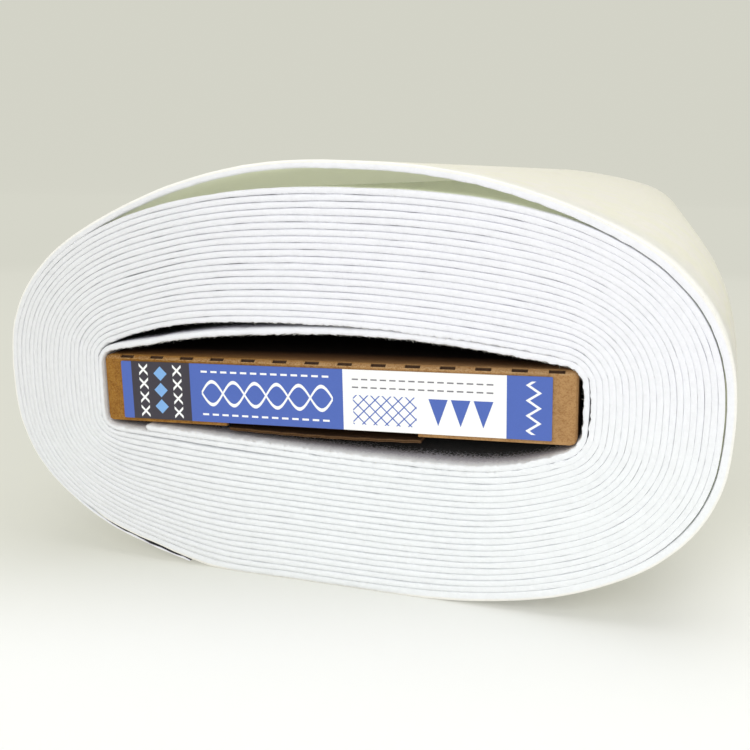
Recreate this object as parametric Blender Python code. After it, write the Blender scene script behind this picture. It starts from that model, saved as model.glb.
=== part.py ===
"""Roll of stiff non-woven interfacing, wound flat on a folded board.

The cloth is one strip, 508 mm wide and about 9.14 m long, wound 22 times round a flat
board sleeve. The roll lies on its side along Y, its front end at -Y, and rests on a
small flat spot at z = 0. The section is worked out in millimetres, with the board's
centre at (0, 0), as a blend of two closed curves: the cavity that hugs the board and the
oval that the tight turns end on. Both are functions of one angle, which runs
counter-clockwise from the right-hand side as seen from the front.
"""
import math

import bmesh
import bpy
import numpy as np

MM = 0.001

# The strip of cloth
CLOTH_WIDTH = 508.0
TURNS = 22
END_ANGLE = math.radians(223.5)
LAST_TURN = {
    "share_of_turn": (0.0, 0.07, 0.6, 0.95, 1.0),
    "thickness": (1.5, 2.4, 2.2, 2.1, 1.3),
}

# The four extreme points of the tight turns' oval, and the fullness of the arc to the next one
OVAL = {
    "right": {"x": 102.5, "z": 0.0, "power": 2.5},
    "top": {"x": 7.0, "z": 56.0, "power": 2.33},
    "left": {"x": -96.0, "z": 3.0, "power": 2.75},
    "bottom": {"x": 9.0, "z": -52.8, "power": 2.5},
}

# The cavity round the board: half sizes and corner, then the arch above and the sag below
BOARD_TILT = math.radians(2.4)
CAVITY = {"right": 68.6, "left": 68.0, "half_height": 10.3, "corner": 2.3}
ARCH = {"height": 8.7, "x": -14.0, "power_left": 2.5, "power_right": 2.5}
SAG = {"height": 6.9, "x": 36.0, "power_left": 1.4, "power_right": 2.4}

# The innermost turn hangs a little below the next one over the arch
DROOP = {"depth": 1.8, "from_deg": 84.0, "to_deg": 150.0, "steps": 16}

# The outermost turn stands off the tight ones: a crescent on top and a thin line down the right
LIFT = {"height": 4.3, "peak_deg": 95.0, "right_deg": 45.0, "left_deg": 55.0}
SLIT = {"width": 0.4, "from_deg": -50.0, "full_deg": -20.0}
GAP_STEPS = 64

# Behind its front edge the roll bulges at the upper right, the tight turns less than the last
BULGE = {"size": 8.3, "angle": 0.54, "spread": 0.57, "stretch": 1.7, "reach": 25.0, "tight_share": 0.75}

# The flat spot: the floor's height under the board's centre
FLOOR = -54.2

# Steps of the faceted solid
ROUND_STEPS = 120
CAVITY_STEPS = 96
DEPTH_STEPS = (0.0, 12.0, 30.0, 60.0, 120.0, 250.0, CLOTH_WIDTH)

# The folded board: sleeve, end flaps, tuck tab and label
BOARD = {"width": 135.0, "height": 19.4, "wall": 1.3, "corner": 2.0}
GAP = 0.3
LABEL = {"left": -61.6, "right": 61.2, "bottom": -8.6, "top": 8.1, "thickness": 0.35, "recess": 0.25}
FLAP = {"thickness": 1.2, "corner": 1.8, "trim": 0.2}
NOTCH = {"left": -29.7, "right": 26.0, "depth": 1.2, "corner": 0.8}
TAB = {"left": -29.2, "right": 26.4, "thickness": 1.0, "depth": 30.0, "setback": 0.6,
       "drop_left": 0.4, "drop_right": 1.0, "bow": 0.5, "steps": 12}

FLAP_FRONT = LABEL["recess"] + LABEL["thickness"] + GAP
SLEEVE_FRONT = FLAP_FRONT + FLAP["thickness"] + GAP

COLOURS = {
    "interfacing": ((0.88, 0.90, 0.91), 0.92),
    "kraft_board": ((0.43, 0.25, 0.10), 0.80),
    "label_paper": ((0.12, 0.19, 0.52), 0.55),
}


def clear_scene():
    for item in list(bpy.data.objects):
        bpy.data.objects.remove(item, do_unlink=True)


def material(name):
    """A plain finish with the colour and roughness that COLOURS gives."""
    colour, roughness = COLOURS[name]
    finish = bpy.data.materials.new(name)
    finish.use_nodes = True
    shader = finish.node_tree.nodes["Principled BSDF"]
    shader.inputs["Base Color"].default_value = (*colour, 1.0)
    shader.inputs["Roughness"].default_value = roughness
    shader.inputs["Metallic"].default_value = 0.0
    return finish


def oval(angle):
    """The oval through the four extreme points of OVAL.

    Between two neighbouring extremes each coordinate runs from one to the other by the
    cosine and the sine of the angle, raised to 2 / power, as in a superellipse.
    """
    angle = np.mod(angle, 2 * np.pi)
    names = ("right", "top", "left", "bottom")
    points = np.zeros(angle.shape + (2,))
    for quarter, name in enumerate(names):
        first = OVAL[name]
        second = OVAL[names[(quarter + 1) % 4]]
        side, crown = (first, second) if quarter % 2 == 0 else (second, first)
        inside = (angle >= quarter * np.pi / 2) & (angle < (quarter + 1) * np.pi / 2)
        along = np.abs(np.cos(angle[inside])) ** (2 / first["power"])
        up = np.abs(np.sin(angle[inside])) ** (2 / first["power"])
        points[inside, 0] = crown["x"] + (side["x"] - crown["x"]) * along
        points[inside, 1] = side["z"] + (crown["z"] - side["z"]) * up
    return points


def mound(x, shape):
    """Height of a rounded mound that is full at shape["x"] and nothing at the board's ends."""
    left = (shape["x"] - x) / (CAVITY["left"] + shape["x"])
    right = (x - shape["x"]) / (CAVITY["right"] - shape["x"])
    fall = np.where(x > shape["x"],
                    np.clip(right, 0, 1) ** shape["power_right"],
                    np.clip(left, 0, 1) ** shape["power_left"])
    return shape["height"] * (1 - fall)


def tilt(points):
    """Turns board axes into the roll's: the board has settled a little askew."""
    x, z = points[..., 0], points[..., 1]
    across = x * math.cos(BOARD_TILT) - z * math.sin(BOARD_TILT)
    up = x * math.sin(BOARD_TILT) + z * math.cos(BOARD_TILT)
    return np.stack([across, up], -1)


def quarter_path(half_width, half_height, corner, steps=9):
    """A quarter of a rounded rectangle, from its side's middle to its top's middle."""
    turn = np.linspace(0, np.pi / 2, steps)
    arc = np.stack([half_width - corner * (1 - np.cos(turn)),
                    half_height - corner * (1 - np.sin(turn))], -1)
    return np.concatenate([[(half_width, 0)], arc, [(0, half_height)]])


def cavity(angle):
    """The curve that hugs the board: a rounded rectangle with an arch above and a sag below.

    In each quarter the way travelled from the middle of the side is the quarter's
    length times 1 - |cos(angle)|.
    """
    c, s = np.cos(angle), np.sin(angle)
    points = np.zeros(angle.shape + (2,))
    for side in ("right", "left"):
        here = c >= 0 if side == "right" else c < 0
        path = quarter_path(CAVITY[side], CAVITY["half_height"], CAVITY["corner"])
        length = np.concatenate([[0], np.cumsum(np.hypot(*np.diff(path, axis=0).T))])
        way = length[-1] * (1 - np.abs(c[here]))
        points[here, 0] = np.interp(way, length, path[:, 0]) * (1 if side == "right" else -1)
        points[here, 1] = np.interp(way, length, path[:, 1]) * np.where(s[here] < 0, -1, 1)
    x = points[:, 0]
    points[:, 1] += np.where(s < 0, -mound(x, SAG), mound(x, ARCH))
    return tilt(points)


def between(angle, share):
    """A point that lies the given share of the way from the cavity to the oval."""
    inner = cavity(angle)
    return inner + (oval(angle) - inner) * np.asarray(share)[..., None]


def underside(angle, turn):
    """The inner surface of one turn, counted from 0, at angles from END_ANGLE on."""
    part = (angle - END_ANGLE) / (2 * np.pi)
    return between(angle, (turn + part - 0.5) / (TURNS - 1))


def even_angles(count, first, last):
    """Angles from first to last that space the points of the middle turn evenly."""
    angle = np.linspace(first, last, 4000)
    points = between(angle, np.full(angle.shape, 0.5))
    length = np.concatenate([[0], np.cumsum(np.hypot(*np.diff(points, axis=0).T))])
    return np.interp(np.linspace(0, length[-1], count), length, angle)


def outward(points):
    """Unit normals of a counter-clockwise run of points, to its outer side."""
    run = np.gradient(points, axis=0)
    run /= np.linalg.norm(run, axis=1)[:, None]
    return np.stack([run[:, 1], -run[:, 0]], -1)


def smooth_step(value):
    value = np.clip(value, 0, 1)
    return value * value * (3 - 2 * value)


def bulge(points, depth):
    """How far the outermost turn swells at a depth behind the front edge."""
    centre_x = (OVAL["left"]["x"] + OVAL["right"]["x"]) / 2
    centre_z = (OVAL["bottom"]["z"] + OVAL["top"]["z"]) / 2
    bearing = np.arctan2(BULGE["stretch"] * (points[:, 1] - centre_z), points[:, 0] - centre_x)
    bump = np.exp(-((bearing - BULGE["angle"]) / BULGE["spread"]) ** 2)
    return BULGE["size"] * bump * (1 - math.exp(-depth / BULGE["reach"]))


def tight_surface(angle, depth):
    """The outer surface of the tight turns, which the outermost turn lies on."""
    points = underside(angle, TURNS - 1)
    return points + outward(points) * (BULGE["tight_share"] * bulge(points, depth))[:, None]


def stand_off(angle, points, depth):
    """How far the outermost turn stands off the tight ones, at a depth behind the front."""
    degrees = np.mod(np.degrees(angle) + 180, 360) - 180
    away = degrees - LIFT["peak_deg"]
    reach = np.where(away > 0, LIFT["left_deg"], LIFT["right_deg"])
    crescent = LIFT["height"] * np.cos(np.pi / 2 * np.clip(away / reach, -1, 1)) ** 2
    rise = (degrees - SLIT["from_deg"]) / (SLIT["full_deg"] - SLIT["from_deg"])
    fade = (degrees - LIFT["peak_deg"]) / LIFT["left_deg"]
    slit = SLIT["width"] * smooth_step(rise) * (1 - smooth_step(fade))
    return crescent + slit + (1 - BULGE["tight_share"]) * bulge(points, depth)


def roll_outline(depth):
    """The outer surface of the outermost turn, from its start to its pressed end."""
    angle = even_angles(ROUND_STEPS, END_ANGLE, END_ANGLE + 2 * np.pi)
    part = (angle - END_ANGLE) / (2 * np.pi)
    base = tight_surface(angle, depth)
    thickness = np.interp(part, LAST_TURN["share_of_turn"], LAST_TURN["thickness"])
    points = base + outward(base) * (thickness + stand_off(angle, base, depth))[:, None]
    points[:, 1] = np.maximum(points[:, 1], FLOOR)
    return points


def crescent_outline(depth):
    """The gap under the outermost turn, from the slit on the right to the upper left."""
    first = math.radians(SLIT["from_deg"] + 360)
    last = math.radians(LIFT["peak_deg"] + LIFT["left_deg"] + 360)
    angle = even_angles(GAP_STEPS, first, last)
    inner = tight_surface(angle, depth)
    outer = inner + outward(inner) * stand_off(angle, inner, depth)[:, None]
    return np.concatenate([outer[:-1], inner[:0:-1]])


def cavity_outline():
    """One turn of the innermost surface; its closing edge is the strip's square cut end."""
    angle = even_angles(CAVITY_STEPS, END_ANGLE, END_ANGLE + 2 * np.pi)
    points = underside(angle, 0)
    points -= outward(points) * droop(angle)[:, None]
    return points


def droop(angle):
    """How far the innermost turn hangs below the next one over the arch."""
    degrees = np.mod(np.degrees(angle), 360)
    share = (degrees - DROOP["from_deg"]) / (DROOP["to_deg"] - DROOP["from_deg"])
    return DROOP["depth"] * np.sin(np.pi * np.clip(share, 0, 1)) ** 2


def droop_outline():
    """The gap between the innermost turn and the next one over the arch."""
    first = math.radians(DROOP["from_deg"] + 360)
    last = math.radians(DROOP["to_deg"] + 360)
    angle = even_angles(DROOP["steps"], first, last)
    upper = underside(angle, 1)
    lower = upper - outward(upper) * droop(angle)[:, None]
    return np.concatenate([upper[:-1], lower[:0:-1]])


def roll_shift():
    """What brings the section's box to x = 0 in the middle and z = 0 at the floor."""
    front = roll_outline(0.0)
    back = roll_outline(CLOTH_WIDTH)
    low = min(front[:, 0].min(), back[:, 0].min())
    high = max(front[:, 0].max(), back[:, 0].max())
    return np.array([-(low + high) / 2, -FLOOR])


def place(points, depth, shift):
    """Section points in mm, at a depth behind the roll's front, as places in metres."""
    y = np.full(len(points), depth - CLOTH_WIDTH / 2)
    return np.stack([points[:, 0] + shift[0], y, points[:, 1] + shift[1]], -1) * MM


def tube_walls(bm, rings):
    """Joins rings of equal length, front to back, and returns their first and last edges."""
    rows = [[bm.verts.new(point) for point in ring] for ring in rings]
    count = len(rows[0])
    for front, back in zip(rows[:-1], rows[1:]):
        for i in range(count):
            j = (i + 1) % count
            bm.faces.new((front[i], front[j], back[j], back[i]))
    bm.edges.index_update()
    ends = []
    for row in (rows[0], rows[-1]):
        ends.append([bm.edges.get((row[i], row[(i + 1) % count])) for i in range(count)])
    return ends


def solid_between(name, finish, outlines):
    """One closed body: walls for each list of rings, and end faces that leave the holes."""
    bm = bmesh.new()
    front_edges, back_edges = [], []
    for rings in outlines:
        front, back = tube_walls(bm, rings)
        front_edges += front
        back_edges += back
    for edges, normal in ((front_edges, (0, -1, 0)), (back_edges, (0, 1, 0))):
        bmesh.ops.triangle_fill(bm, use_beauty=True, edges=edges, normal=normal)
    bmesh.ops.recalc_face_normals(bm, faces=bm.faces)
    mesh = bpy.data.meshes.new(name)
    bm.to_mesh(mesh)
    bm.free()
    mesh.shade_smooth()
    mesh.set_sharp_from_angle(angle=math.radians(35))
    mesh.materials.append(finish)
    piece = bpy.data.objects.new(name, mesh)
    bpy.context.scene.collection.objects.link(piece)
    return piece


def rounded_rectangle(left, right, bottom, top, corner, steps=5):
    """Counter-clockwise outline of a rectangle with round corners, in board axes."""
    turn = np.linspace(0, np.pi / 2, steps)
    points = []
    for quarter, (x, z) in enumerate(((right - corner, top - corner), (left + corner, top - corner),
                                      (left + corner, bottom + corner), (right - corner, bottom + corner))):
        swing = turn + quarter * np.pi / 2
        points.append(np.stack([x + corner * np.cos(swing), z + corner * np.sin(swing)], -1))
    return np.concatenate(points)


def notched_flap_outline():
    """The end flap: a rounded rectangle with a shallow notch in its lower edge."""
    half_width = BOARD["width"] / 2 - FLAP["trim"]
    half_height = BOARD["height"] / 2 - FLAP["trim"]
    points = rounded_rectangle(-half_width, half_width, -half_height, half_height, FLAP["corner"])
    steps = len(points) // 4
    lower_left = points[:3 * steps]
    lower_right = points[3 * steps:]
    roof = NOTCH["depth"] - half_height
    notch = np.array([
        (NOTCH["left"], -half_height),
        (NOTCH["left"], roof - NOTCH["corner"] / 2),
        (NOTCH["left"] + NOTCH["corner"], roof),
        (NOTCH["right"] - NOTCH["corner"], roof),
        (NOTCH["right"], roof - NOTCH["corner"] / 2),
        (NOTCH["right"], -half_height),
    ])
    return np.concatenate([lower_left, notch, lower_right])


def tab_outline():
    """The tuck tab seen end on: a thin strip that bows down below the sleeve."""
    across = np.linspace(0, 1, TAB["steps"])
    x = TAB["left"] + (TAB["right"] - TAB["left"]) * across
    drop = np.interp(across, (0, 1), (TAB["drop_left"], TAB["drop_right"]))
    top = -BOARD["height"] / 2 - drop - TAB["bow"] * np.sin(np.pi * across)
    upper = np.stack([x, top], -1)
    lower = np.stack([x, top - TAB["thickness"]], -1)
    return np.concatenate([lower, upper[::-1]])


def board_piece(name, finish, outlines, front, back, shift):
    """A straight piece of board from outlines in board axes, between two depths."""
    rings = [[place(tilt(outline), depth, shift) for depth in (front, back)] for outline in outlines]
    return solid_between(name, finish, rings)


def build_cloth(shift):
    wrap = [place(roll_outline(depth), depth, shift) for depth in DEPTH_STEPS]
    crescent = [place(crescent_outline(depth), depth, shift) for depth in DEPTH_STEPS]
    ends = (0.0, CLOTH_WIDTH)
    hollow = [place(cavity_outline(), depth, shift) for depth in ends]
    slot = [place(droop_outline(), depth, shift) for depth in ends]
    return solid_between("cloth_roll", material("interfacing"), [wrap, crescent, hollow, slot])


def build_board(shift):
    kraft = material("kraft_board")
    half_width, half_height = BOARD["width"] / 2, BOARD["height"] / 2
    wall, corner = BOARD["wall"], BOARD["corner"]
    outside = rounded_rectangle(-half_width, half_width, -half_height, half_height, corner)
    inside = rounded_rectangle(wall - half_width, half_width - wall, wall - half_height,
                               half_height - wall, corner - wall)
    sleeve_back = CLOTH_WIDTH - SLEEVE_FRONT
    board_piece("board_sleeve", kraft, [outside, inside], SLEEVE_FRONT, sleeve_back, shift)
    trim = FLAP["trim"]
    plain_flap = rounded_rectangle(trim - half_width, half_width - trim, trim - half_height,
                                   half_height - trim, FLAP["corner"])
    flap_inner = FLAP_FRONT + FLAP["thickness"]
    board_piece("front_end_flap", kraft, [notched_flap_outline()], FLAP_FRONT, flap_inner, shift)
    board_piece("back_end_flap", kraft, [plain_flap], CLOTH_WIDTH - flap_inner,
                CLOTH_WIDTH - FLAP_FRONT, shift)
    tab_front = FLAP_FRONT + TAB["setback"]
    board_piece("front_tuck_tab", kraft, [tab_outline()], tab_front, tab_front + TAB["depth"], shift)


def build_label(shift):
    corner = LABEL["thickness"]
    outline = rounded_rectangle(LABEL["left"], LABEL["right"], LABEL["bottom"], LABEL["top"], corner)
    board_piece("end_label", material("label_paper"), [outline], LABEL["recess"],
                LABEL["recess"] + LABEL["thickness"], shift)


def main():
    clear_scene()
    shift = roll_shift()
    build_cloth(shift)
    build_board(shift)
    build_label(shift)


main()
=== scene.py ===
# %% [markdown]
# # A roll of stiff interfacing
# Stiff interfacing is a thick white non-woven cloth. It is sold wound flat round a folded
# board, with a label on the board's end. This lesson dresses the plain solids of such a
# roll: the cloth becomes one long strip, wound turn by turn, and the board, the tuck tab
# and the label get their folds, fibres and print. The solids are loaded first, because
# every piece is fitted to them.

# %% Load the solids and note the size of the box they fill
import math

import bpy
import numpy as np
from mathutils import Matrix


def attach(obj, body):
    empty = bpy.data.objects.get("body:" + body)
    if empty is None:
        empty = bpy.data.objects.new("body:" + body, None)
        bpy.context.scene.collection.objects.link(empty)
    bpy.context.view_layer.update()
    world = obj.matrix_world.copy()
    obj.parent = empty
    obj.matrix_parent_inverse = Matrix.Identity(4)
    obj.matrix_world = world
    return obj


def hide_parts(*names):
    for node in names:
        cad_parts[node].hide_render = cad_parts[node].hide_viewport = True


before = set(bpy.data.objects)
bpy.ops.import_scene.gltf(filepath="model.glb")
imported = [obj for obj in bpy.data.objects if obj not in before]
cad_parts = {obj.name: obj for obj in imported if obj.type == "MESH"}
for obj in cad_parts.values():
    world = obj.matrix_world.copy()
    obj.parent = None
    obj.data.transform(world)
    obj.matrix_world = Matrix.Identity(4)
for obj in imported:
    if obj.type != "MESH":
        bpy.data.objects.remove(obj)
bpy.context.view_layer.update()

print("nodes:", sorted(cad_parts))

# %% [markdown]
# ## Sizes
# The section of the roll is worked out in millimetres, with the board's centre at (0, 0).
# One angle runs counter-clockwise round the section, as seen from the front. The cloth is
# 508 mm wide and is wound 22 times, so its cut edge is a spiral that is seen 22 times
# between the board and the outside. Two closed curves hold the whole winding: the cavity
# that hugs the board, and the oval where the tight turns end.

# %% The named sizes of the winding, in millimetres
MM = 0.001
CLOTH_WIDTH = 508.0
TURNS = 22
START_ANGLE = math.radians(247.0)
LAST_START = 20.935
LAST_END = 22.006
LAST_TURN = {
    "share_of_turn": (0.0, 0.06, 0.08, 0.13, 0.25, 0.6, 0.90, 1.01),
    "thickness": (1.9, 2.0, 2.5, 2.7, 2.3, 2.2, 1.7, 0.55),
}
OVAL = {
    "right": {"x": 102.5, "z": 0.0, "power": 2.5},
    "top": {"x": 7.0, "z": 56.0, "power": 2.27},
    "left": {"x": -96.0, "z": 3.0, "power": 2.75},
    "bottom": {"x": 9.0, "z": -52.8, "power": 2.5},
}
BOARD_TILT = math.radians(2.4)
CAVITY = {"right": 68.4, "left": 67.35, "half_height": 10.3,
          "right_corner": 3.4, "left_corner": 2.3, "bow": 0.9}
WALK = {"degrees": (0.0, 9.0, 18.0, 56.0, 72.0, 90.0),
        "speed": (38.0, 38.0, 4.4, 4.4, 142.0, 142.0)}
ARCH = {"height": 7.9, "x": -14.0, "power_left": 3.0, "power_right": 1.9}
SAG = {"height": 6.9, "x": 36.0, "power_left": 1.4, "power_right": 2.4}
DROOP = {"depth": 2.5, "peak_deg": 130.0, "right_deg": 62.0, "left_deg": 27.0}
LIFT = {"height": 4.3, "peak_deg": 95.0, "right_deg": 45.0, "left_deg": 44.0}
SLIT = {"width": 0.4, "from_deg": -50.0, "full_deg": -20.0}
# The outer end's dark_from and dark set where and how strongly its slit gets painted shade.
OUTER_END = {"width": 0.9, "from": 0.985, "full": 1.025, "dark_from": 1.012, "dark": 26.0}
SPREAD = {"size": 1.5, "degrees": 239.0, "reach": 14.0}
BULGE = {"size": 7.3, "angle": 0.60, "spread_below": 0.44, "spread_above": 0.42,
         "stretch": 1.7, "reach": 25.0, "tight_share": 0.75, "tight_from": 0.35,
         "last_from": 0.1, "last_over": 0.25}
FLOOR = -54.2
SHIFT_X = -5.5
print(f"{TURNS} turns of cloth, {CLOTH_WIDTH:.0f} mm wide")

# %% [markdown]
# ## The two curves that hold the winding
# A superellipse is a good model of a roll that has sagged: fuller than an ellipse, but
# without corners. Its four extreme points are all at different places here, so each
# quarter has its own power. The cavity is a rounded rectangle round the board, raised
# into an arch above it, where the first turn stands off the board, and lowered below it.

# %% The oval through four extreme points
def oval(angle):
    """Points of the oval, as an array of (x, z).

    In each quarter a coordinate runs from one extreme point to the next by the cosine or
    the sine of the angle, raised to 2 / power. Low on the left the points are moved out
    by a bell curve over the bearing, where the turns lie a little looser.
    """
    angle = np.mod(angle, 2 * np.pi)
    names = ("right", "top", "left", "bottom")
    points = np.zeros(angle.shape + (2,))
    for quarter, name in enumerate(names):
        first, second = OVAL[name], OVAL[names[(quarter + 1) % 4]]
        side, crown = (first, second) if quarter % 2 == 0 else (second, first)
        inside = (angle >= quarter * np.pi / 2) & (angle < (quarter + 1) * np.pi / 2)
        along = np.abs(np.cos(angle[inside])) ** (2 / first["power"])
        up = np.abs(np.sin(angle[inside])) ** (2 / first["power"])
        points[inside, 0] = crown["x"] + (side["x"] - crown["x"]) * along
        points[inside, 1] = side["z"] + (crown["z"] - side["z"]) * up
    bearing = np.degrees(np.mod(np.arctan2(points[:, 1], points[:, 0]), 2 * np.pi))
    spread = SPREAD["size"] * np.exp(-((bearing - SPREAD["degrees"]) / SPREAD["reach"]) ** 2)
    away = points / np.linalg.norm(points, axis=1)[:, None]
    return points + away * spread[:, None]


ring = oval(np.linspace(0, 2 * np.pi, 721))
print("oval:", ring.min(0).round(1), "to", ring.max(0).round(1), "mm")


# %% The cavity round the board
def mound(x, shape):
    """A mound's height: full at its own x, and falling as 1 - distance to a power."""
    left = (shape["x"] - x) / (CAVITY["left"] + shape["x"])
    right = (x - shape["x"]) / (CAVITY["right"] - shape["x"])
    fall = np.where(x > shape["x"],
                    np.clip(right, 0, 1) ** shape["power_right"],
                    np.clip(left, 0, 1) ** shape["power_left"])
    return shape["height"] * (1 - fall)


def tilt(points):
    """Turns the last axis, (x, z) of the board, by the angle at which the board has settled."""
    x, z = points[..., 0], points[..., 1]
    across = x * math.cos(BOARD_TILT) - z * math.sin(BOARD_TILT)
    up = x * math.sin(BOARD_TILT) + z * math.cos(BOARD_TILT)
    return np.stack([across, up], -1)


def quarter_path(half_width, half_height, corner, steps=9):
    """A quarter of a rounded rectangle: a straight, an arc of a circle and a straight."""
    turn = np.linspace(0, np.pi / 2, steps)
    arc = np.stack([half_width - corner * (1 - np.cos(turn)),
                    half_height - corner * (1 - np.sin(turn))], -1)
    return np.concatenate([[(half_width, 0)], arc, [(0, half_height)]])


def run_length(points):
    """The way travelled along a run of points, from 0 at the first."""
    return np.concatenate([[0], np.cumsum(np.linalg.norm(np.diff(points, axis=0), axis=1))])


def walked(angle):
    """The share of a quarter's path that is walked at an angle, from its side's middle.

    It is the running sum of the speeds in WALK. The walk is slow round the corner, so that
    the turns outside it fan out in round arcs, as cloth does round a board's edge.
    """
    grid = np.linspace(0, np.pi / 2, 721)
    speed = np.interp(np.degrees(grid), WALK["degrees"], WALK["speed"])
    total = np.concatenate([[0], np.cumsum((speed[1:] + speed[:-1]) / 2)])
    local = np.arctan2(np.abs(np.sin(angle)), np.abs(np.cos(angle)))
    return np.interp(local, grid, total / total[-1])


def cavity(angle):
    """Points of the cavity: quarters of a rounded rectangle, walked at the speeds in WALK."""
    c, s = np.cos(angle), np.sin(angle)
    points = np.zeros(angle.shape + (2,))
    for side in ("right", "left"):
        here = c >= 0 if side == "right" else c < 0
        path = quarter_path(CAVITY[side], CAVITY["half_height"], CAVITY[side + "_corner"])
        length = run_length(path)
        way = length[-1] * walked(angle[here])
        points[here, 0] = np.interp(way, length, path[:, 0]) * (1 if side == "right" else -1)
        points[here, 1] = np.interp(way, length, path[:, 1]) * np.where(s[here] < 0, -1, 1)
    level = np.clip(np.abs(points[:, 1]) / CAVITY["half_height"], 0, 1)
    points[:, 0] += np.where(c >= 0, CAVITY["bow"] * (1 - level ** 2), 0)
    x = points[:, 0]
    points[:, 1] += np.where(s < 0, -mound(x, SAG), mound(x, ARCH))
    return tilt(points)


def between(angle, share):
    """A point that lies the given share of the way from the cavity to the oval."""
    inner = cavity(angle)
    return inner + (oval(angle) - inner) * np.asarray(share)[..., None]


ring = cavity(np.linspace(0, 2 * np.pi, 721))
print("cavity:", ring.min(0).round(1), "to", ring.max(0).round(1), "mm")


# %% [markdown]
# ## One long strip
# The strip is measured in turns, from 0 at its inner end to 22 at its outer end. A place
# on the strip lies at a share of the way from the cavity to the oval that grows evenly
# with the turns, and its outer face one pitch further out than its inner face. A curve
# with an extrusion could be wound too, but its turns would not follow each other so
# closely, so every point is worked out here. The columns of the mesh are spread by arc
# length, closer together in tight corners.

# %% Where the columns of the strip stand
def outward(points):
    """Unit normals of a counter-clockwise run: its direction turned clockwise by 90 degrees."""
    run = np.gradient(points, axis=0)
    run /= np.linalg.norm(run, axis=1)[:, None]
    return np.stack([run[:, 1], -run[:, 0]], -1)


PITCH_SHARE = TURNS / (LAST_START + 1) / (TURNS - 1)
FIRST_SHARE = -0.5 / (TURNS - 1)


def spiral(turns, pitches=0.0):
    """The strip's inner face: the share grows by a pitch a turn while the angle runs round."""
    angle = START_ANGLE + 2 * np.pi * turns
    return between(angle, (turns + pitches) * PITCH_SHARE + FIRST_SHARE)


CORNER_REACH = 4.0
DENSEST = 2.5


def spread_columns(first, last, spacing):
    """Turns from first to last, a spacing apart, and closer in corners.

    The density of columns is 1 + CORNER_REACH times the curvature, kept under DENSEST.
    """
    turns = np.linspace(first, last, int((last - first) * 3000))
    points = spiral(turns, 0.5)
    length = run_length(points)
    heading = np.unwrap(np.arctan2(*np.gradient(points, axis=0).T[::-1]))
    curvature = np.abs(np.gradient(heading, length))
    density = np.clip(1 + CORNER_REACH * curvature, 1, DENSEST)
    mass = np.concatenate([[0], np.cumsum(np.diff(length) * (density[:-1] + density[1:]) / 2)])
    count = int(mass[-1] / spacing) + 1
    return np.interp(np.linspace(0, mass[-1], count), mass, turns)


DENSE_TURNS = np.linspace(0, LAST_END, TURNS * 1500)
DENSE_LENGTH = run_length(spiral(DENSE_TURNS, 0.5))

# %% [markdown]
# ## Gaps between the turns
# The turns press on each other, so only a thin broken shadow line shows between them. The
# gap is a twentieth of a millimetre on average, with short places that stand open by a
# few tenths, and it shrinks to a quarter at the roll's two sides, where the cloth is
# pulled tight. Smooth noise along the strip does that: random values at even knots, joined
# by a smooth step. A Displace modifier would push neighbouring turns through each other.
# Here the outer face of one turn and the inner face of the next use the same value, so
# they never cross.

# %% Smooth noise along the strip, and the gaps that it makes
def smooth_step(value):
    """Eases from 0 to 1 while the value goes from 0 to 1: 3v^2 - 2v^3, held at the ends."""
    value = np.clip(value, 0, 1)
    return value * value * (3 - 2 * value)


def wander(length, knot, seed):
    """Noise from -1 to 1 along a length: random knots, blended by 3t^2 - 2t^3 between them."""
    place = np.asarray(length) / knot
    count = int(np.max(place)) + 3
    values = np.random.default_rng(seed).uniform(-1, 1, count)
    index = np.floor(place).astype(int)
    blend = smooth_step(place - index)
    return values[index] * (1 - blend) + values[index + 1] * blend


GAP = {"even": 0.05, "fine": 0.03, "broad": 0.02, "open": 0.19, "at_sides": 0.25, "least": 0.015}
SWAY = {"broad": 0.07, "fine": 0.04}

# Gaps that stand open: the first turn, the last turn and the extra width in mm.
OPEN_GAPS = {
    "under the board, lower left": (0.98, 1.07, 0.40),
    "beside the board, right": (0.265, 0.365, 0.40),
    "third turn, upper right": (2.38, 2.50, 0.10),
    "sixth turn, top": (5.54, 5.64, 0.08),
    "eleventh turn, top left": (10.60, 10.68, 0.11),
}


def gap_above(turns):
    """The gap in mm between a place on the strip and the next turn outside it."""
    length = np.interp(turns, DENSE_TURNS, DENSE_LENGTH)
    fine = wander(length, 2.6, 11)
    broad = wander(length, 38.0, 12)
    open_place = np.clip(2 * wander(length, 3.4, 15) - 1, 0, 1)
    gap = GAP["even"] + GAP["fine"] * fine + GAP["broad"] * broad + GAP["open"] * open_place
    upright = np.abs(np.sin(START_ANGLE + 2 * np.pi * turns))
    gap = gap * (GAP["at_sides"] + (1 - GAP["at_sides"]) * upright)
    for first, last, extra in OPEN_GAPS.values():
        share = (turns - first) / (last - first)
        gap = gap + extra * np.sin(np.pi * np.clip(share, 0, 1)) ** 2
    return np.clip(gap, GAP["least"], None)


def sway(turns):
    """How far the border with the next turn wanders in or out, in mm."""
    length = np.interp(turns, DENSE_TURNS, DENSE_LENGTH)
    return SWAY["broad"] * wander(length, 11.0, 13) + SWAY["fine"] * wander(length, 4.5, 14)


sample = gap_above(np.linspace(0, TURNS - 1, 20000))
print(f"gaps between turns: {sample.min():.2f} to {sample.max():.2f} mm, mean {sample.mean():.2f}")


# %% [markdown]
# ## Where the turns leave each other
# Four things break the even winding. The first turn hangs a little below the second over
# the arch. The last turn stands off the others in a crescent on top and in a thin line
# down the right side. Its outer end is pressed thin and stands off once more, low on the
# left, where it leaves a dark slit. And behind its front edge the whole roll bulges at
# the upper right. These forms could be sculpted, but squared cosines and bell curves end
# smoothly and keep their sizes in one named row each.

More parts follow.
